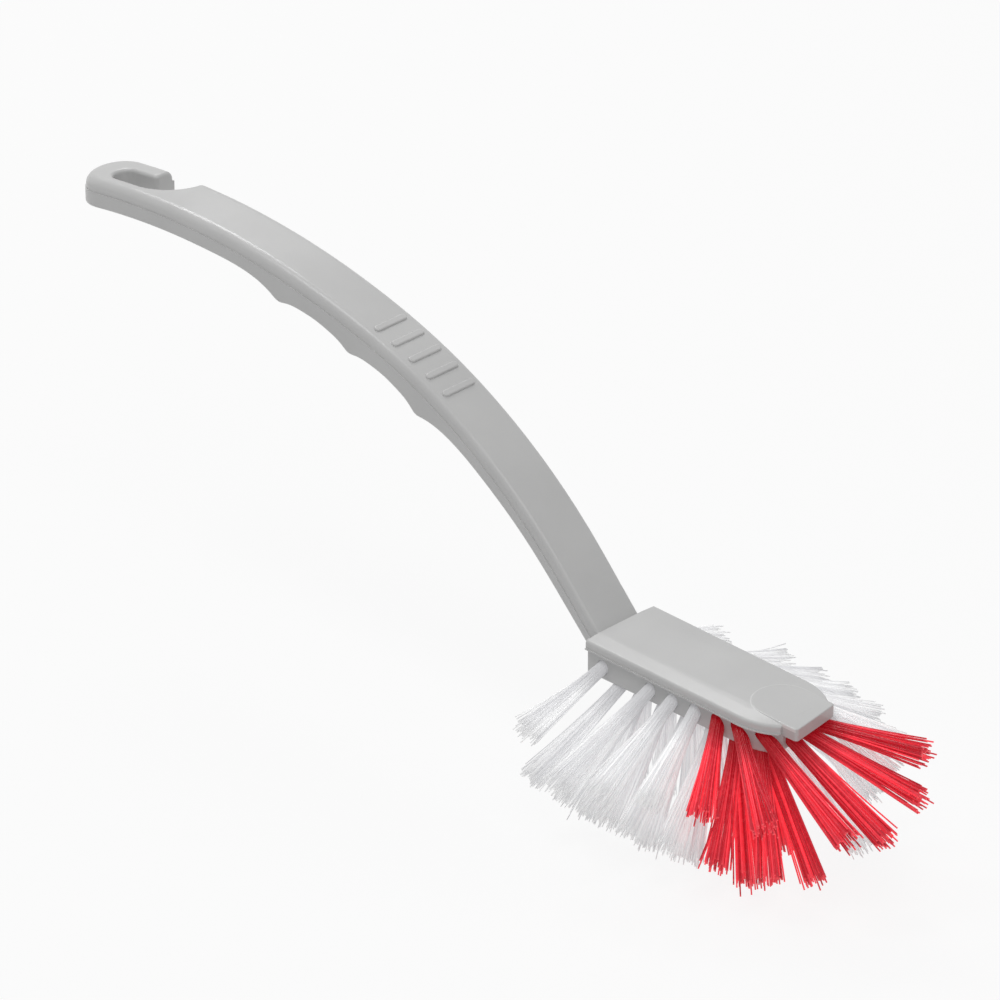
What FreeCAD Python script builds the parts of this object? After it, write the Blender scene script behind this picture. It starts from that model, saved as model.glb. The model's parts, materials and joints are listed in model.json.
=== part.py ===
import FreeCAD, Part
import math
import os

V = FreeCAD.Vector

# All sizes are in millimetres and degrees. X runs from the hook to the scraper nose, Y to the
# left and Z up, with zero at the middle of the head's rear top edge.

# Handle, seen from the side: a straight neck and two tangent arcs
neck_angle = 46.9            # slope of the neck where it leaves the head
neck_length = 18.4
neck_drop = 1.4              # the neck starts this far below the head's top
bow_radius = 155.0           # the tighter arc above the neck
bow_sweep = 29.3
back_radius = 230.5          # the flatter arc that carries the grip and the hook
hook_end_x = -186.3
neck_half_width = 7.3
hook_end_radius = 8.6        # also the half width of the handle there
neck_thickness = 5.7         # at the head
waist_thickness = 7.0        # ahead of and behind the finger grooves
hook_thickness = 7.7         # at the hook's end
parting_land = 0.6           # flat side above the mould parting line, where the edge is roundest
parting_ledge = 0.25         # the lower mould half is wider by this on each side
neck_edge_round = 0.9
grip_edge_round = 2.6
lower_edge_round = 0.9

# Finger grooves under the grip, placed by distance along the top from the head
bump_first = 76.8
bump_pitch = 26.5
bump_count = 3
bump_thickness = 9.9
groove_thickness = 8.0
ramp_length = 10.5
bump_round = 5.0

# Thumb ribs on top of the grip
rib_first = 73.1
rib_pitch = 6.4
rib_count = 5
rib_length = 10.8
rib_width = 2.0
rib_height = 0.55

# Hanging hook: a slot through the handle's end with a mouth on the left
eye_radius = 3.2
eye_x = -174.6
eye_y = -0.7
hook_tip_x = -166.6
mouth_radius = 12.3
mouth_start_x = -167.0
eye_edge_round = 0.9
hook_tip_round = 1.3
hook_split_x = -148.0        # the hook is built behind this and the handle's long run ahead of it

# Head: a plate with drooping sides and a thin lip, over a narrower block
head_length = 61.8
head_half_width = 12.4
front_half_width = 8.6
front_corner_length = 10.5   # the sides turn in over this length behind the head's front
top_fall = 0.8               # the plate's top slopes down by this to the front
droop_width = 5.0            # the sides of the plate's top droop over this width
rear_droop = 0.3
front_droop = 0.7
crease_round = 15.0          # between the flat middle and the drooping sides
plate_wall = 2.05            # height of the plate's side wall above its lip
plate_edge_round = 0.8
plate_lip = 0.35             # width and height of the lip at the wall's foot
block_inset = 0.8
block_height = 9.8
block_round = 0.8
bow_height = 1.4             # the block's underside rises by this at the front
bow_length = 3.3             # over this length

# Scraper nose on the front of the head
nose_reach = 3.7             # the nose stands out this far ahead of the head
nose_length = 18.7
nose_half_width = 8.0
nose_slant = 1.1             # its right front corner is this far ahead of the middle, the left behind
nose_rise = 0.22             # it stands proud of the plate at its rear
nose_drop = 0.92             # its front edge is this far below the head's rear edge
nose_bottom = 4.2            # and its underside this far
nose_round = 0.3
nose_corner_round = 0.9

# Bristle tufts: a root held in a blind hole and a free end that spreads
hole_radius = 1.85
hole_depth = 3.6
tip_radius = 3.5
root_run = 3.2               # the free end starts to spread here
rear_length = 25.5           # the rearmost pair of the outer rows
outer_length = 31.0
lower_length = 33.0
inner_length = 36.0
centre_length = 32.0
front_lengths = (36.0, 35.0, 29.0)  # the three front tufts from right to left
outer_dip_angle = 27.0       # slope below level
lower_rear_dip_angle = 34.0
lower_front_dip_angle = 50.0
inner_rear_dip_angle = 61.0
inner_front_dip_angle = 50.0
front_dip_angles = (26.0, 14.0, 2.0)
front_turn_angles = (-2.0, 8.0, 18.0)  # direction from straight ahead, to the left
fan_rear_angle = -11.0       # direction from straight sideways: backward at the rear
fan_front_angle = 83.0       # and nearly straight ahead at the front
lower_fan_front_angle = 62.0
inner_fan_front_angle = 113.0
fan_power = 2.2              # how late the rows turn ahead
lean_rear_angle = -12.0      # the centre row's lean from straight down
lean_front_angle = 24.0
outer_row_depth = 6.4
lower_row_y = 8.6
inner_row_y = 4.3
rear_tuft_x = 5.0
row_start_x = 21.0
row_count = 6                # tufts from there to the front in each outer row
row_setback = 2.8            # the rows end this far behind the head's front
front_tuft_depth = 6.2
front_tuft_pitch = 4.8

# Flat metal anchors that pin the folded tufts in their holes
anchor_thickness = 0.35
anchor_height = 1.8
anchor_bite = 0.25
anchor_seat = 0.8            # filament folded between the anchor and the hole's bottom

reach = 400.0                # longer than anything here, for cutting prisms

front_corner_start = head_length - front_corner_length
nose_end_x = head_length + nose_reach
nose_rear_x = nose_end_x - nose_length
row_pitch = (head_length - row_setback - row_start_x) / (row_count - 1)

slope = math.radians(neck_angle)
neck_foot = V(0, 0, -neck_drop)
neck_top = neck_foot + V(-math.cos(slope), 0, math.sin(slope)) * neck_length
bow_centre = neck_top - V(math.sin(slope), 0, math.cos(slope)) * bow_radius
back_slope = slope - math.radians(bow_sweep)
back_centre = bow_centre + V(math.sin(back_slope), 0, math.cos(back_slope)) * (bow_radius - back_radius)
bow_end = neck_length + bow_radius * math.radians(bow_sweep)
parting_depth = grip_edge_round + parting_land
lap_depth = parting_depth * 1.25  # the upper mould halves reach this deep, inside the lower one


# Slope of the handle's top at a distance along it from the head
def slope_at(distance):
    if distance < neck_length:
        return slope
    if distance < bow_end:
        return slope - (distance - neck_length) / bow_radius
    return back_slope - (distance - bow_end) / back_radius


# Point of the handle's side view at a distance along its top and a depth below it
def along(distance, depth):
    turn = slope_at(distance)
    outward = V(math.sin(turn), 0, math.cos(turn))
    if distance < neck_length:
        return neck_foot + V(-math.cos(slope), 0, math.sin(slope)) * distance - outward * depth
    if distance < bow_end:
        return bow_centre + outward * (bow_radius - depth)
    return back_centre + outward * (back_radius - depth)


# Distance along the handle's top at which its flatter arc reaches x
def distance_at(x):
    return bow_end + back_radius * (back_slope - math.asin((x - back_centre.x) / back_radius))


# Smooth edge along the handle between two distances, each with its depth below the top
def level(start, end, start_depth, end_depth):
    steps = math.ceil(abs(end - start) / 9.0) + 1
    parts = [i / steps for i in range(steps + 1)]
    curve = Part.BSplineCurve()
    points = [along(start + (end - start) * t, start_depth + (end_depth - start_depth) * t) for t in parts]
    curve.interpolate(points)
    return curve.toShape()


def line(a, b):
    return Part.LineSegment(a, b).toShape()


def arc(a, b, c):
    return Part.Arc(a, b, c).toShape()


# Closed chain of straight edges
def polygon(points):
    return [line(a, b) for a, b in zip(points, points[1:] + points[:1])]


# Solid from an outline drawn from the side, through the whole width
def side_prism(edges):
    face = Part.Face(Part.Wire(edges))
    face.translate(V(0, -reach / 2, 0))
    return face.extrude(V(0, reach, 0))


# Solid from an outline drawn from above, through the whole height
def plan_prism(edges):
    face = Part.Face(Part.Wire(edges))
    face.translate(V(0, 0, -reach / 2))
    return face.extrude(V(0, 0, reach))


# Outline of the handle from above: tapered sides that run into a round end
def handle_outline(inset):
    radius = hook_end_radius - inset
    centre_x = hook_end_x + hook_end_radius
    width = neck_half_width - inset
    turn = math.atan2(width, -centre_x) + math.acos(radius / math.hypot(centre_x, width))
    touch = V(centre_x + radius * math.cos(turn), radius * math.sin(turn), 0)
    taper = (touch.y - width) / touch.x
    front = V(head_half_width, width + taper * head_half_width, 0)
    end = V(centre_x - radius, 0, 0)
    touch_right = V(touch.x, -touch.y, 0)
    front_right = V(front.x, -front.y, 0)
    return [
        line(front, touch),
        arc(touch, end, touch_right),
        line(touch_right, front_right),
        line(front_right, front),
    ]


# The hook's slot from above: a round-ended eye that opens into a mouth on the left
def eye_outline():
    near = eye_y - eye_radius
    far = eye_y + eye_radius
    outside = near + 2 * mouth_radius
    bend = V(mouth_start_x, near + mouth_radius, 0)
    shoulder_x = mouth_start_x + mouth_radius
    half_turn = V(math.sin(math.pi / 4), -math.cos(math.pi / 4), 0)
    return [
        arc(V(eye_x, far, 0), V(eye_x - eye_radius, eye_y, 0), V(eye_x, near, 0)),
        line(V(eye_x, near, 0), V(mouth_start_x, near, 0)),
        arc(V(mouth_start_x, near, 0), bend + half_turn * mouth_radius, V(shoulder_x, bend.y, 0)),
        line(V(shoulder_x, bend.y, 0), V(shoulder_x, outside, 0)),
        line(V(shoulder_x, outside, 0), V(hook_tip_x, outside, 0)),
        line(V(hook_tip_x, outside, 0), V(hook_tip_x, far, 0)),
        line(V(hook_tip_x, far, 0), V(eye_x, far, 0)),
    ]


split = distance_at(hook_split_x)
handle_end = distance_at(hook_end_x - hook_end_radius)
buried = -neck_thickness     # the handle starts this far inside the head
top_curve = level(handle_end, buried, 0, 0)


# Depth of an edge's middle below the handle's top
def edge_depth(edge):
    middle = edge.valueAt((edge.FirstParameter + edge.LastParameter) / 2)
    return top_curve.distToShape(Part.Vertex(middle.x, 0, middle.z))[0]


# Upper mould half of the long run, its edges rounder toward the hook
upper_run = side_prism([
    level(split, buried, 0, 0),
    line(along(buried, 0), along(buried, lap_depth)),
    level(buried, split, lap_depth, lap_depth),
    line(along(split, lap_depth), along(split, 0)),
])
upper_run = upper_run.common(plan_prism(handle_outline(0))).Solids[0]
long_edges = [e for e in upper_run.Edges if e.Length > split / 2 and edge_depth(e) < parting_depth / 2]
rounds = [grip_edge_round, neck_edge_round]
if long_edges[0].valueAt(long_edges[0].FirstParameter).x > hook_split_x / 2:
    rounds.reverse()
upper_run = upper_run.makeFillet(*rounds, long_edges)

# Upper mould half of the hook, with the slot cut through it
eye = plan_prism(eye_outline())
tip_corner = [e for e in eye.Edges if e.BoundBox.ZLength > reach / 2
              and e.CenterOfMass.sub(V(hook_tip_x, eye_y + eye_radius, 0)).Length < 0.01]
eye = eye.makeFillet(hook_tip_round, tip_corner)
upper_hook = side_prism([
    level(handle_end, split, 0, 0),
    line(along(split, 0), along(split, lap_depth)),
    level(split, handle_end, lap_depth, lap_depth),
    line(along(handle_end, lap_depth), along(handle_end, 0)),
])
upper_hook = upper_hook.common(plan_prism(handle_outline(0))).Solids[0]
rim = [e for e in upper_hook.Edges if e.BoundBox.XLength > 0.5 and edge_depth(e) < parting_depth / 2]
upper_hook = upper_hook.makeFillet(grip_edge_round, rim)
upper_hook = upper_hook.cut(eye)


# Whether an edge's middle lies on the wall of the slot
def on_slot(edge):
    middle = edge.valueAt((edge.FirstParameter + edge.LastParameter) / 2)
    return eye.distToShape(Part.Vertex(middle))[0] < 0.001


slot_rim = [e for e in upper_hook.Edges if edge_depth(e) < parting_depth / 2 and on_slot(e)]
upper_hook = upper_hook.makeFillet(eye_edge_round, slot_rim)

bumps = [bump_first + bump_pitch * i for i in range(bump_count)]
neck_end = bumps[0] - ramp_length
waist_start = bumps[-1] + ramp_length


# Thickness of the handle: neck, ramp, bumps with grooves between them, ramp and hook
def thickness(distance):
    if distance < neck_end:
        return neck_thickness + (waist_thickness - neck_thickness) * distance / neck_end
    if distance > waist_start:
        part = (distance - waist_start) / (handle_end - waist_start)
        return waist_thickness + (hook_thickness - waist_thickness) * part
    if distance < bumps[0]:
        return bump_thickness - (bump_thickness - waist_thickness) * (bumps[0] - distance) / ramp_length
    if distance > bumps[-1]:
        return bump_thickness - (bump_thickness - waist_thickness) * (distance - bumps[-1]) / ramp_length
    across = 2 * ((distance - bumps[0]) / bump_pitch % 1) - 1
    return groove_thickness + (bump_thickness - groove_thickness) * across ** 2


# Lower mould half in one length: its underside runs smoothly through stations, closest at the bumps
stations = [buried + (neck_end - bump_round - buried) * i / 6 for i in range(7)]
stations += [neck_end + bump_round / 2]
for bump in bumps:
    stations += [bump + bump_round * i / 2 for i in (-1, 0, 1)]
stations += [bump + bump_pitch * i / 6 for bump in bumps[:-1] for i in (2, 3, 4)]
stations += [waist_start - bump_round / 2]
rear_start = waist_start + bump_round
stations += [rear_start + (handle_end - rear_start) * i / 6 for i in range(7)]
stations.sort()
underside = Part.BSplineCurve()
underside.interpolate([along(d, thickness(d)) for d in stations])
lower = side_prism([
    level(handle_end, buried, parting_depth, parting_depth),
    line(along(buried, parting_depth), along(buried, thickness(buried))),
    underside.toShape(),
    line(along(handle_end, hook_thickness), along(handle_end, parting_depth)),
])
lower = lower.common(plan_prism(handle_outline(-parting_ledge))).Solids[0]
belly = (neck_thickness + parting_depth) / 2
lower_edges = [e for e in lower.Edges if e.BoundBox.XLength > 0.2 and edge_depth(e) > belly]
lower = lower.makeFillet(lower_edge_round, lower_edges)
lower = lower.cut(eye)

# Thumb ribs, each a rounded bar across the grip
ribs = []
for i in range(rib_count):
    end_y = (rib_length - rib_width) / 2
    half = rib_width / 2
    outline = [
        line(V(half, -end_y, 0), V(half, end_y, 0)),
        arc(V(half, end_y, 0), V(0, end_y + half, 0), V(-half, end_y, 0)),
        line(V(-half, end_y, 0), V(-half, -end_y, 0)),
        arc(V(-half, -end_y, 0), V(0, -end_y - half, 0), V(half, -end_y, 0)),
    ]
    foot = parting_depth / 2
    rib = Part.Face(Part.Wire(outline)).extrude(V(0, 0, foot + rib_height))
    rim = [e for e in rib.Edges if e.CenterOfMass.z > foot + rib_height * 0.99]
    rib = rib.makeFillet(rib_height * 0.8, rim)
    distance = rib_first + rib_pitch * i
    turn = FreeCAD.Rotation(V(0, 1, 0), math.degrees(slope_at(distance)))
    rib.Placement = FreeCAD.Placement(along(distance, foot), turn)
    ribs.append(rib)


# Half width of the head at x, inset from its side
def head_side(x, inset):
    if x <= front_corner_start:
        return head_half_width - inset
    fall = head_half_width - front_half_width
    radius = (front_corner_length ** 2 + fall ** 2) / (2 * fall) - inset
    return head_half_width - inset - radius + math.sqrt(radius ** 2 - (x - front_corner_start) ** 2)


# Closed outline through corners, with an arc of the given radius at each corner where it isn't zero
def rounded(corners, rounds):
    bends = []
    for i, (here, radius) in enumerate(zip(corners, rounds)):
        back = (corners[i - 1] - here).normalize()
        ahead = (corners[(i + 1) % len(corners)] - here).normalize()
        half = back.getAngle(ahead) / 2
        run = radius / math.tan(half)
        middle = (back + ahead).normalize() * (radius / math.sin(half) - radius)
        bends.append((here + back * run, here + middle, here + ahead * run))
    edges = []
    for i, bend in enumerate(bends):
        edges.append(line(bends[i - 1][2], bend[0]))
        if rounds[i]:
            edges.append(arc(*bend))
    return edges


# Cross-section of the plate at x: a flat top with drooping sides, and a wall down to the lip
def plate_section(x):
    half = head_side(x, 0)
    lip = head_side(x, -plate_lip)
    part = x / head_length
    top = -top_fall * part
    edge = top - rear_droop - (front_droop - rear_droop) * part
    ledge = edge - plate_wall
    left = [
        V(x, lip, ledge - plate_lip),
        V(x, lip, ledge),
        V(x, half, ledge),
        V(x, half, edge),
        V(x, half - droop_width, top),
    ]
    right = [V(x, -p.y, p.z) for p in reversed(left)]
    rounds = [0, 0, 0, plate_edge_round, crease_round]
    return Part.Wire(rounded(left + right, rounds + rounds[::-1]))


plate_rear = Part.makeLoft([plate_section(0), plate_section(front_corner_start)], True, True)
front_sections = [plate_section(front_corner_start + front_corner_length * i / 4) for i in range(5)]
plate_front = Part.makeLoft(front_sections, True, False)


# Outline of the block from above, with its front corners turned in as the head's are
def block_outline():
    xs = [0, front_corner_start, head_length - front_corner_length / 2, head_length]
    left = [V(x, head_side(x, block_inset), 0) for x in xs]
    right = [V(p.x, -p.y, 0) for p in left]
    return [
        line(left[0], left[1]),
        arc(left[1], left[2], left[3]),
        line(left[3], right[3]),
        arc(right[3], right[2], right[1]),
        line(right[1], right[0]),
        line(right[0], left[0]),
    ]


# Block under the plate that takes the tufts, with its underside rising at the front
block = Part.Face(Part.Wire(block_outline()))
block.translate(V(0, 0, -block_height))
block = block.extrude(V(0, 0, block_height - plate_wall))
block = block.cut(side_prism(polygon([
    V(head_length - bow_length, 0, -block_height),
    V(head_length, 0, bow_height - block_height),
    V(head_length, 0, -block_height),
])))
block_edges = [e for e in block.Edges if e.BoundBox.ZMax < -block_height + 0.001]
block = block.makeFillet(block_round, block_edges)


# Outline of the scraper nose from above: a bar with a round rear end and a slanted front
def nose_outline():
    half = nose_half_width
    centre = nose_rear_x + half
    left = V(nose_end_x - nose_slant, half, 0)
    right = V(nose_end_x + nose_slant, -half, 0)
    return [
        arc(V(centre, half, 0), V(nose_rear_x, 0, 0), V(centre, -half, 0)),
        line(V(centre, -half, 0), right),
        line(right, left),
        line(left, V(centre, half, 0)),
    ]


# The nose stands proud of the plate at its rear and slopes down to its front
nose_rear_z = nose_rise - top_fall * nose_rear_x / head_length
nose_slope = (nose_rear_z + nose_drop) / nose_length
nose = side_prism(polygon([
    V(nose_rear_x - nose_reach, 0, nose_rear_z + nose_slope * nose_reach),
    V(nose_end_x + nose_reach, 0, -nose_drop - nose_slope * nose_reach),
    V(nose_end_x + nose_reach, 0, -nose_bottom),
    V(nose_rear_x - nose_reach, 0, -nose_bottom),
]))
nose = nose.common(plan_prism(nose_outline())).Solids[0]
nose_corners = [e for e in nose.Edges if e.BoundBox.ZLength > 1 and e.CenterOfMass.x > head_length]
nose = nose.makeFillet(nose_corner_round, nose_corners).Solids[0]
nose_top = [e for e in nose.Edges if e.CenterOfMass.z > -(nose_drop + nose_bottom) / 2]
nose = nose.makeFillet(nose_round, nose_top)

moulding = upper_run.multiFuse([upper_hook, lower, *ribs, plate_rear, plate_front, block, nose])
moulding = moulding.removeSplitter().Solids[0]

# Places and directions of the tufts, row by row; side is +1 on the left and -1 on the right
outer_xs = [rear_tuft_x] + [row_start_x + row_pitch * i for i in range(row_count)]
lower_xs = [row_start_x + row_pitch * (i - 1.5) for i in range(row_count + 1)]
inner_xs = [row_start_x + row_pitch * (i - 1) for i in range(row_count)]
centre_xs = lower_xs[:-1]


# Share of the way from the rearmost to the foremost tuft
def share(x):
    return (x - outer_xs[0]) / (outer_xs[-1] - outer_xs[0])


# Direction of a side tuft at x: the rows turn ahead ever faster toward the front
def fan(x, side, front_angle, dip):
    turn = math.radians(fan_rear_angle + (front_angle - fan_rear_angle) * share(x) ** fan_power)
    drop = math.radians(dip)
    level_run = math.cos(drop)
    return V(math.sin(turn) * level_run, side * math.cos(turn) * level_run, -math.sin(drop))


tufts = {}
for side, name in ((1, "left"), (-1, "right")):
    for i, x in enumerate(outer_xs):
        foot = V(x, side * head_side(x, block_inset), -outer_row_depth)
        direction = fan(x, side, fan_front_angle, outer_dip_angle)
        tufts[f"tuft_outer_{name}_{i + 1}"] = (foot, direction, outer_length if i else rear_length)
    for i, x in enumerate(lower_xs):
        dip = lower_rear_dip_angle + (lower_front_dip_angle - lower_rear_dip_angle) * share(x)
        foot = V(x, side * lower_row_y, -block_height)
        direction = fan(x, side, lower_fan_front_angle, dip)
        tufts[f"tuft_lower_{name}_{i + 1}"] = (foot, direction, lower_length)
    for i, x in enumerate(inner_xs):
        dip = inner_rear_dip_angle + (inner_front_dip_angle - inner_rear_dip_angle) * share(x)
        foot = V(x, side * inner_row_y, -block_height)
        direction = fan(x, side, inner_fan_front_angle, dip)
        tufts[f"tuft_inner_{name}_{i + 1}"] = (foot, direction, inner_length)
for i, x in enumerate(centre_xs):
    lean = math.radians(lean_rear_angle + (lean_front_angle - lean_rear_angle) * share(x))
    direction = V(math.sin(lean), 0, -math.cos(lean))
    tufts[f"tuft_centre_{i + 1}"] = (V(x, 0, -block_height), direction, centre_length)
front_names = ("right", "centre", "left")
for i, (name, length, dip, turn) in enumerate(
        zip(front_names, front_lengths, front_dip_angles, front_turn_angles)):
    drop = math.radians(dip)
    aim = math.radians(turn)
    foot = V(head_length, front_tuft_pitch * (i - 1), -front_tuft_depth)
    direction = V(math.cos(aim) * math.cos(drop), math.sin(aim) * math.cos(drop), -math.sin(drop))
    tufts[f"tuft_front_{name}"] = (foot, direction, length)

pieces = {}
anchors = []
for name, (foot, direction, length) in tufts.items():
    place = FreeCAD.Placement(foot, FreeCAD.Rotation(V(0, 0, -1), direction))
    outline = polygon([
        V(0, 0, hole_depth),
        V(hole_radius, 0, hole_depth),
        V(hole_radius, 0, -root_run),
        V(tip_radius, 0, -length),
        V(0, 0, -length),
    ])
    tuft = Part.Face(Part.Wire(outline)).revolve(V(0, 0, 0), V(0, 0, 1), 360)
    hole = Part.makeCylinder(hole_radius, hole_depth + root_run, V(0, 0, -root_run))
    width = 2 * (hole_radius + anchor_bite)
    anchor = Part.makeBox(
        width,
        anchor_thickness,
        anchor_height,
        V(-width / 2, -anchor_thickness / 2, hole_depth - anchor_seat - anchor_height),
    )
    for shape in (tuft, hole, anchor):
        shape.Placement = place
    pieces[name] = tuft.cut(anchor)
    moulding = moulding.cut(hole.fuse(anchor))
    anchors.append(anchor)
pieces["handle_head"] = moulding
pieces["tuft_anchors"] = Part.makeCompound(anchors)

# The origin goes to the middle of the bounding box's bottom
box = Part.makeCompound(list(pieces.values())).optimalBoundingBox(False)
shift = V(-box.Center.x, -box.Center.y, -box.ZMin)
os.makedirs("parts", exist_ok=True)
for name, shape in pieces.items():
    shape.translate(shift)
    shape.exportStep(f"parts/{name}.step")
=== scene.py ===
import json
import math
import random

import bpy
import numpy as np
from mathutils import Euler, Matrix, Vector


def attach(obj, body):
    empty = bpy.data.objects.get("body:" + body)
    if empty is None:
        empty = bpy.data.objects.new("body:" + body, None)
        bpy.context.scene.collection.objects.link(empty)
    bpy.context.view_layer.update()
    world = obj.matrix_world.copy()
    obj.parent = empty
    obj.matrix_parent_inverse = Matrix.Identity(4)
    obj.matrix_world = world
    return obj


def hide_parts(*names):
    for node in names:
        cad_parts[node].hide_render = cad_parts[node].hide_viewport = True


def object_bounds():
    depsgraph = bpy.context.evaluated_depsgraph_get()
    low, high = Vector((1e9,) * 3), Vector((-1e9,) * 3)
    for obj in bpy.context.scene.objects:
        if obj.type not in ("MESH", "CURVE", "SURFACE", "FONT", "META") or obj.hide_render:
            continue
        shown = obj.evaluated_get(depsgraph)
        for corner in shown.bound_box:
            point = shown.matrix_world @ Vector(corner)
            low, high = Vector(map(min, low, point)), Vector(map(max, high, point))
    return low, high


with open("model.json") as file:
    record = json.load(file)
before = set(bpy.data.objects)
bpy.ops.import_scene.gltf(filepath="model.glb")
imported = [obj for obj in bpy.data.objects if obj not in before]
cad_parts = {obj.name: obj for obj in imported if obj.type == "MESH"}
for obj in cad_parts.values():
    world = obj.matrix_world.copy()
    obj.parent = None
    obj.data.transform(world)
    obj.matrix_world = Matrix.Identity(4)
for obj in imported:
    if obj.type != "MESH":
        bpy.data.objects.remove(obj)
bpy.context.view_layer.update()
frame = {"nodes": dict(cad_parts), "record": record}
scene = bpy.context.scene
mm = 0.001
print("frame loaded with", len(frame["nodes"]), "nodes")


class Wire:  # one output socket of a material, so that shader maths reads as plain expressions
    def __init__(self, finish, socket):
        self.finish = finish
        self.socket = socket

    def __add__(self, other):
        return self.finish.maths("ADD", self, other)

    def __sub__(self, other):
        return self.finish.maths("SUBTRACT", self, other)

    def __mul__(self, other):
        return self.finish.maths("MULTIPLY", self, other)

    def __rsub__(self, other):
        return self.finish.maths("SUBTRACT", other, self)

    __radd__ = __add__
    __rmul__ = __mul__


class Finish:  # the node tree of one material or of the world
    def __init__(self, owner):
        owner.use_nodes = True
        self.owner = owner
        self.tree = owner.node_tree
        self.tree.nodes.clear()

    def node(self, kind, settings, sockets, out=0):  # sockets by name, or by number where names repeat
        made = self.tree.nodes.new("ShaderNode" + kind)
        for name, value in settings.items():
            setattr(made, name, value)
        for key, value in sockets.items():
            named = [s for s in made.inputs if s.enabled and s.name == key]
            socket = named[0] if named else made.inputs[key]
            if isinstance(value, Wire):
                self.tree.links.new(value.socket, socket)
            else:
                socket.default_value = value
        outputs = [s for s in made.outputs if s.enabled and out in (0, s.name)]
        return Wire(self, outputs[0]) if outputs else None

    def maths(self, operation, first, second=0.0):
        return self.node("Math", {"operation": operation}, {0: first, 1: second})

    def blend(self, amount, first, second):  # colours
        return self.node("Mix", {"data_type": "RGBA"}, {"Factor": amount, "A": first, "B": second})

    def noise(self, where, size, detail):  # size of one blotch in metres
        return self.node("TexNoise", {}, {"Vector": where, "Scale": 1 / size, "Detail": detail})

    def remap(self, value, low, high, toLow=0.0, toHigh=1.0):
        return self.node("MapRange", {}, {0: value, 1: low, 2: high, 3: toLow, 4: toHigh})

    def seen(self):  # 1 for rays that see the background straight, in gloss or through glass
        kinds = ("Camera", "Glossy", "Transmission")
        camera, glossy, through = (self.node("LightPath", {}, {}, f"Is {kind} Ray") for kind in kinds)
        return self.maths("MAXIMUM", self.maths("MAXIMUM", camera, glossy), through)

    def close(self, surface):
        end = "OutputWorld" if isinstance(self.owner, bpy.types.World) else "OutputMaterial"
        self.node(end, {}, {"Surface": surface})
        return self.owner


def grey(level):
    return (level, level, level, 1.0)


noiseRange = (0.3, 0.7)         # where most of a noise's values lie


# Satin moulded plastic of the handle and head, with a painted highlight: a pale line around the scraper
# nose's edge
plastic = {
    "pale": (0.545, 0.545, 0.542, 1.0),
    "dull": (0.510, 0.510, 0.508, 1.0),
    "cloud": 22 * mm,           # slow drift of the tone
    "cloudDetail": 3.0,
    "grain": 0.35 * mm,         # fine spark-eroded texture
    "grainDetail": 2.0,
    "grainShare": 0.2,          # of the tone
    "grainDepth": 0.012 * mm,
    "bump": 0.35,
    "toneRange": (0.35, 0.65),
    "roughness": (0.27, 0.35),
    "ior": 1.49,
    # painted highlight: pale colour along the nose's edge
    "line": (0.70, 0.70, 0.695, 1.0),
    "lineCentre": 99.9 * mm,    # of the nose's round rear end
    "lineRadius": 8.0 * mm,
    "lineWidth": 0.28 * mm,
    "lineFloor": 40.7 * mm,     # the painted highlight stays above this height
}


def makePlastic():
    finish = Finish(bpy.data.materials.new("greyMouldedPlastic"))
    where = finish.node("TexCoord", {}, {}, "Object")
    x, y, z = (finish.node("SeparateXYZ", {}, {"Vector": where}, axis) for axis in "XYZ")
    cloud = finish.noise(where, plastic["cloud"], plastic["cloudDetail"])
    grain = finish.noise(where, plastic["grain"], plastic["grainDetail"])
    tone = cloud * (1 - plastic["grainShare"]) + grain * plastic["grainShare"]
    body = finish.blend(finish.remap(tone, *plastic["toneRange"]), plastic["dull"], plastic["pale"])
    # Distance from the nose's outline, an arc behind its centre and straight sides ahead, along which a
    # pale painted highlight line is laid
    behind = finish.maths("MINIMUM", x - plastic["lineCentre"], 0.0)
    away = finish.maths("SQRT", behind * behind + y * y) - plastic["lineRadius"]
    line = finish.remap(finish.maths("ABSOLUTE", away), 0.0, plastic["lineWidth"], 1.0, 0.0)
    above = finish.maths("GREATER_THAN", z, plastic["lineFloor"])
    # lay the painted highlight line over the plastic's tone
    colour = finish.blend(line * above, body, plastic["line"])
    mottle = grain * 0.5 + cloud * 0.5
    roughness = finish.remap(mottle, *noiseRange, *plastic["roughness"])
    bump = finish.node(
        "Bump",
        {},
        {"Strength": plastic["bump"], "Distance": plastic["grainDepth"], "Height": grain},
    )
    return finish.close(
        finish.node(
            "BsdfPrincipled",
            {},
            {"Base Color": colour, "Roughness": roughness, "Normal": bump, "IOR": plastic["ior"]},
        )
    )


# Zinc-plated anchor strip, streaked along its height
anchorFinish = {
    "bright": (0.62, 0.61, 0.58, 1.0),
    "dark": (0.40, 0.39, 0.37, 1.0),
    "streak": 0.12 * mm,
    "streakDetail": 4.0,
    "stretch": (1, 1, 0.1),
    "roughness": (0.28, 0.5),
}


def makeAnchorSteel():
    finish = Finish(bpy.data.materials.new("anchorSteel"))
    where = finish.node("TexCoord", {}, {}, "Object")
    stretched = finish.node("VectorMath", {"operation": "MULTIPLY"}, {0: where, 1: anchorFinish["stretch"]})
    streaks = finish.noise(stretched, anchorFinish["streak"], anchorFinish["streakDetail"])
    colour = finish.blend(streaks, anchorFinish["dark"], anchorFinish["bright"])
    roughness = finish.remap(streaks, *noiseRange, *anchorFinish["roughness"])
    return finish.close(
        finish.node("BsdfPrincipled", {}, {"Base Color": colour, "Roughness": roughness, "Metallic": 1.0})
    )
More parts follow.
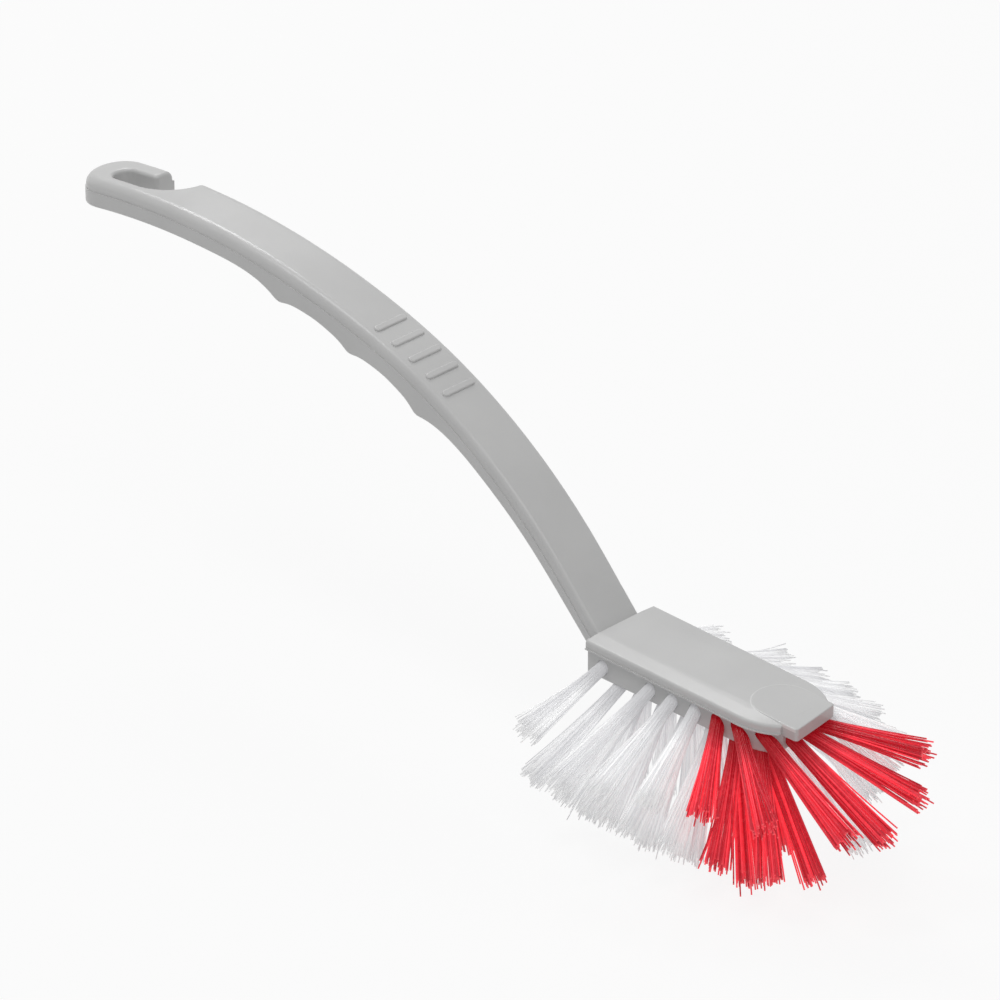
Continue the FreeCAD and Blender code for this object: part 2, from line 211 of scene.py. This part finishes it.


# Drawn filaments: the tone drifts from one to the next, the root is darkened by painted shade, and the cut
# end is paler as a painted highlight
whiteFilament = {
    # painted shade at the root
    "root": (0.72, 0.72, 0.73, 1.0),
    "dull": (0.80, 0.80, 0.81, 1.0),
    "pale": (0.96, 0.96, 0.96, 1.0),
    # painted highlight at the cut end
    "end": (0.96, 0.96, 0.96, 1.0),
    "roughness": (0.30, 0.45),
    "paintedGlow": 0.26,               # painted glow: emission standing in for light scattered inside the tuft
    "radius": 0.15 * mm,
    "pitch": 0.31 * mm,
    "rowPitch": 0.275 * mm,
    "sides": 5,
    "tipRadius": 4.2 * mm,      # of the tuft
    "wander": 0.5 * mm,         # at the tip
}
redFilament = {
    # painted shade at the root
    "root": (0.42, 0.006, 0.014, 1.0),
    "dull": (0.50, 0.010, 0.026, 1.0),
    "pale": (0.98, 0.095, 0.140, 1.0),
    # painted highlight at the cut end
    "end": (0.95, 0.130, 0.155, 1.0),
    "roughness": (0.20, 0.32),
    # painted glow: emission standing in for light scattered inside the tuft
    "paintedGlow": 0.44,
    "radius": 0.20 * mm,
    "pitch": 0.41 * mm,
    "rowPitch": 0.36 * mm,
    "sides": 6,
    "tipRadius": 3.7 * mm,
    "wander": 0.35 * mm,
}
nylon = {
    "speckle": 1.6 * mm,
    "speckleDetail": 3.0,
    "speckleShare": 0.25,       # of the tone
    "speckleDepth": 0.01 * mm,
    "bump": 0.2,
    "toneRange": (0.15, 0.85),
    "rootShadeRange": (0.0, 0.32),   # shares of the length over which the root's painted shade fades
    "endHighlightRange": (0.985, 1.0),
    "through": 0.4,             # share of light that passes a filament
    "ior": 1.53,
}


def makeFilament(name, look):
    finish = Finish(bpy.data.materials.new(name))
    tone = finish.node("Attribute", {"attribute_name": "tone"}, {}, "Fac")
    along = finish.node("Attribute", {"attribute_name": "along"}, {}, "Fac")
    where = finish.node("TexCoord", {}, {}, "Object")
    speckle = finish.noise(where, nylon["speckle"], nylon["speckleDetail"])
    mixed = tone * (1 - nylon["speckleShare"]) + speckle * nylon["speckleShare"]
    body = finish.blend(finish.remap(mixed, *nylon["toneRange"]), look["dull"], look["pale"])
    # painted shade darkens each filament towards its root
    shaded = finish.blend(finish.remap(along, *nylon["rootShadeRange"]), look["root"], body)
    # painted highlight pales the cut end
    colour = finish.blend(finish.remap(along, *nylon["endHighlightRange"]), shaded, look["end"])
    roughness = finish.remap(speckle, *noiseRange, *look["roughness"])
    bump = finish.node(
        "Bump",
        {},
        {"Strength": nylon["bump"], "Distance": nylon["speckleDepth"], "Height": speckle},
    )
    # the emission paints a glow that stands in for light scattered inside the tuft
    skin = finish.node(
        "BsdfPrincipled",
        {},
        {
            "Base Color": colour,
            "Roughness": roughness,
            "Normal": bump,
            "IOR": nylon["ior"],
            "Emission Color": colour,
            "Emission Strength": look["paintedGlow"],
        },
    )
    through = finish.node("BsdfTranslucent", {}, {"Color": colour})
    return finish.close(finish.node("MixShader", {}, {0: nylon["through"], 1: skin, 2: through}))


filaments = {"white_bristle": whiteFilament, "red_bristle": redFilament}
filamentMaterials = {slot: makeFilament(slot, look) for slot, look in filaments.items()}
for name, material in (("handle_head", makePlastic()), ("tuft_anchors", makeAnchorSteel())):
    mesh = frame["nodes"][name].data
    mesh.materials.clear()
    mesh.materials.append(material)
print("plastic, anchor and filament finishes made")


# One tuft: filaments packed on both sides of the anchor strip, which fan out to a rough cut
tuft = {
    "anchorHalf": 0.175 * mm,   # half the strip's thickness
    "holeRadius": 1.85 * mm,
    "holeDepth": 3.6 * mm,
    "endBand": 0.1 * mm,        # points this near to a solid's end count as the end
    "rootDepth": 3.5 * mm,      # how deep the filaments sit in the hole
    "rootRun": 2.0 * mm,        # straight stretch at the mouth
    "rings": (0.06, 0.2, 0.4, 0.6, 0.8, 1.0),
    "flareRange": (0.9, 1.1),   # from tuft to tuft
    "flarePower": 1.15,         # how late the filaments spread
    "closing": 0.8,             # share of the strip's gap that closes outside the hole
    "closingRun": 0.25,         # share of the free length that this takes
    "unevenEnd": 0.030,         # spread of the filaments' lengths
    "wanderPower": 1.6,
    "curl": 0.8 * mm,           # bend of the whole tuft at its tip
    "curlPower": 2,
    "strayShare": 0.04,
    "strayReach": 3.4 * mm,
    "trims": {                  # free length of single tufts over that of their solids
        "tuft_outer_right_2": 1.10,
        "tuft_outer_right_3": 1.02,
        "tuft_outer_right_4": 0.92,
        "tuft_outer_right_5": 0.86,
        "tuft_outer_right_6": 0.90,
        "tuft_outer_right_7": 1.06,
        "tuft_inner_right_5": 1.08,
        "tuft_inner_right_6": 1.05,
        "tuft_lower_left_7": 0.75,
        "tuft_outer_left_4": 0.90,
        "tuft_outer_left_5": 0.85,
        "tuft_outer_left_6": 0.80,
        "tuft_outer_left_7": 0.75,
    },
}


def packedRows(look):  # places of the filaments in the hole, row by row away from the strip
    reach = tuft["holeRadius"] - look["radius"]
    spots = []
    across = tuft["anchorHalf"] + look["radius"]
    row = 0
    while across < reach:
        half = math.sqrt(reach ** 2 - across ** 2)
        start = look["pitch"] / 2 * (row % 2)
        count = int((half - start) / look["pitch"])
        columns = [start + look["pitch"] * i for i in range(count + 1)]
        columns += [-c for c in columns if c > 0]
        spots += [(c, side * across) for c in columns for side in (-1, 1) if c <= half]
        across += look["rowPitch"]
        row += 1
    return spots


def tuftLine(node):  # root, direction and length of a CAD tuft, read from its mesh
    points = np.unique(np.round([v.co for v in node.data.vertices], 6), axis=0)
    centre = points.mean(0)
    axis = np.linalg.svd(points - centre)[2][0]
    along = (points - centre) @ axis
    band = tuft["endBand"]
    ends = [points[along < along.min() + band], points[along > along.max() - band]]
    ends.sort(key=lambda end: np.ptp(end, axis=0).max())     # the narrow end is the root
    root, tip = (Vector(end.mean(0)) for end in ends)
    return root, (tip - root).normalized(), (tip - root).length


class Bundle:  # the mesh of one tuft, filament by filament
    def __init__(self, sides, axis, right, front):
        self.sides = sides
        self.axis = axis
        self.right = right
        self.front = front
        self.verts, self.faces, self.smooth = [], [], []
        self.tones, self.alongs = [], []

    def sideways(self, first, second):
        return self.right * first + self.front * second

    def addFilament(self, points, alongs, radius, tone):
        first = len(self.verts)
        sides = self.sides
        rings = len(points)
        for i, point in enumerate(points):
            ahead = points[min(i + 1, rings - 1)] - points[max(i - 1, 0)]
            lean = self.axis.rotation_difference(ahead)
            for k in range(sides):
                angle = 2 * math.pi * k / sides
                self.verts.append(point + lean @ self.sideways(math.cos(angle), math.sin(angle)) * radius)
                self.tones.append(tone)
                self.alongs.append(alongs[i])
        for i in range(rings - 1):
            for k in range(sides):
                a, b = first + i * sides + k, first + i * sides + (k + 1) % sides
                self.faces.append((a, b, b + sides, a + sides))
                self.smooth.append(True)
        self.faces.append(tuple(first + k for k in reversed(range(sides))))
        self.faces.append(tuple(first + (rings - 1) * sides + k for k in range(sides)))
        self.smooth += [False, False]

    def makeMesh(self, name, material):
        mesh = bpy.data.meshes.new(name)
        mesh.from_pydata(self.verts, [], self.faces)
        mesh.polygons.foreach_set("use_smooth", self.smooth)
        for label, values in (("tone", self.tones), ("along", self.alongs)):
            mesh.attributes.new(label, "FLOAT", "POINT").data.foreach_set("value", values)
        mesh.materials.append(material)
        return mesh


def makeTuft(name, node, slot):
    look = filaments[slot]
    draw = random.Random(name)
    root, axis, length = tuftLine(node)
    turn = Vector((0, 0, -1)).rotation_difference(axis)      # the strip lies along the turned X
    right = turn @ Vector((1, 0, 0))
    front = turn @ Vector((0, 1, 0))
    bundle = Bundle(look["sides"], axis, right, front)
    mouth = root + axis * tuft["holeDepth"]
    free = (length - tuft["holeDepth"]) * tuft["trims"].get(name, 1.0)
    radius = look["radius"]
    flare = (look["tipRadius"] - radius) / (tuft["holeRadius"] - radius) * draw.uniform(*tuft["flareRange"])
    curl = bundle.sideways(draw.uniform(-1, 1), draw.uniform(-1, 1)) * tuft["curl"]
    for column, across in packedRows(look):
        closing = math.copysign(tuft["anchorHalf"], across) * tuft["closing"]
        reach = free * (1 + draw.gauss(0, tuft["unevenEnd"]))
        wander = bundle.sideways(draw.gauss(0, 1), draw.gauss(0, 1)) * look["wander"]
        if draw.random() < tuft["strayShare"]:
            wander += bundle.sideways(draw.uniform(-1, 1), draw.uniform(-1, 1)) * tuft["strayReach"]
        tone = draw.random()
        # Distance from the mouth and share of the free length, ring by ring
        path = [(-tuft["rootDepth"], 0.0), (0.0, 0.0)]
        path += [(tuft["rootRun"] + (reach - tuft["rootRun"]) * t, t) for t in tuft["rings"]]
        points = []
        for distance, t in path:
            spread = 1 + (flare - 1) * t ** tuft["flarePower"]
            closed = across - closing * min(t / tuft["closingRun"], 1)
            point = mouth + axis * distance + (right * column * spread + front * closed * spread)
            points.append(point + wander * t ** tuft["wanderPower"] + curl * t ** tuft["curlPower"])
        bundle.addFilament(points, [t for distance, t in path], radius, tone)
    label = name + "_filaments"
    piece = bpy.data.objects.new(label, bundle.makeMesh(label, filamentMaterials[slot]))
    scene.collection.objects.link(piece)
    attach(piece, "root")
    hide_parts(name)


slotOf = {part["node"]: part["material_slot"] for part in frame["record"]["subparts"]}
tuftNodes = {name: node for name, node in sorted(frame["nodes"].items()) if slotOf[name] in filaments}
for name, node in tuftNodes.items():
    makeTuft(name, node, slotOf[name])
print(len(tuftNodes), "tufts made of filaments")


# Pale floor: white to the camera, with the part's soft shadow left in it
floorLook = {
    "half": 6.0,
    "gap": 0.5 * mm,            # below the lowest filament
    "pale": grey(0.80),
    "dull": grey(0.79),
    "cloud": 0.4,
    "cloudDetail": 2.0,
    "shadowShare": 0.12,        # how much of the lit floor the camera sees
}


def makeFloor():
    finish = Finish(bpy.data.materials.new("paleFloor"))
    where = finish.node("TexCoord", {}, {}, "Object")
    cloud = finish.noise(where, floorLook["cloud"], floorLook["cloudDetail"])
    colour = finish.blend(cloud, floorLook["dull"], floorLook["pale"])
    lit = finish.node("BsdfDiffuse", {}, {"Color": colour})
    white = finish.node("Emission", {}, {"Color": grey(1.0), "Strength": 1.0})
    share = finish.seen() * (1 - floorLook["shadowShare"])
    material = finish.close(finish.node("MixShader", {}, {0: share, 1: lit, 2: white}))
    half = floorLook["half"]
    corners = [(-half, -half, 0), (half, -half, 0), (half, half, 0), (-half, half, 0)]
    mesh = bpy.data.meshes.new("floor")
    mesh.from_pydata(corners, [], [(0, 1, 2, 3)])
    mesh.materials.append(material)
    floor = bpy.data.objects.new("floor", mesh)
    floor.location.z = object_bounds()[0][2] - floorLook["gap"]
    scene.collection.objects.link(floor)


makeFloor()


# Soft boxes and an even surround
lights = {
    "back": {"place": (-0.93, 0.62, 1.20), "size": 0.5, "power": 5.5},
    "top": {"place": (-0.45, -0.38, 1.44), "size": 0.5, "power": 4.0},
    "front": {"place": (0.72, -0.56, 1.37), "size": 1.0, "power": 5.5},
}
lightTarget = Vector((0, 0, 0.06))
surround = 0.42


def makeLights():
    for name, light in lights.items():
        lamp = bpy.data.lights.new(name, "AREA")
        lamp.shape = "DISK"
        lamp.size = light["size"]
        lamp.energy = light["power"]
        holder = bpy.data.objects.new(name, lamp)
        holder.location = light["place"]
        holder.rotation_euler = (lightTarget - holder.location).to_track_quat("-Z", "Y").to_euler()
        scene.collection.objects.link(holder)
    world = bpy.data.worlds.new("paleStudio")
    scene.world = world
    finish = Finish(world)
    strength = surround + finish.seen() * (1 - surround)
    finish.close(finish.node("Background", {}, {"Color": grey(1.0), "Strength": strength}))


makeLights()
print("floor and lights placed")


# Long lens from above the right front, as photographed
viewpoint = {
    "azimuth": 44.34,
    "elevation": 28.41,
    "aim": (0.01378, -0.01056, 0.06900),
    "distance": 2.22226,
    "lens": 324.0,
    "sensor": 36.0,
    "clipEnd": 50.0,
}


def makeCamera():
    lens = bpy.data.cameras.new("photoView")
    lens.sensor_width = viewpoint["sensor"]
    lens.lens = viewpoint["lens"]
    lens.clip_end = viewpoint["clipEnd"]
    camera = bpy.data.objects.new("photoView", lens)
    tilt = math.radians(90 - viewpoint["elevation"])
    camera.rotation_euler = Euler((tilt, 0, math.radians(viewpoint["azimuth"])))
    back = camera.rotation_euler.to_matrix() @ Vector((0, 0, 1))
    camera.location = Vector(viewpoint["aim"]) + back * viewpoint["distance"]
    scene.collection.objects.link(camera)
    scene.camera = camera


makeCamera()
scene.view_settings.view_transform = "Standard"
print("camera set")
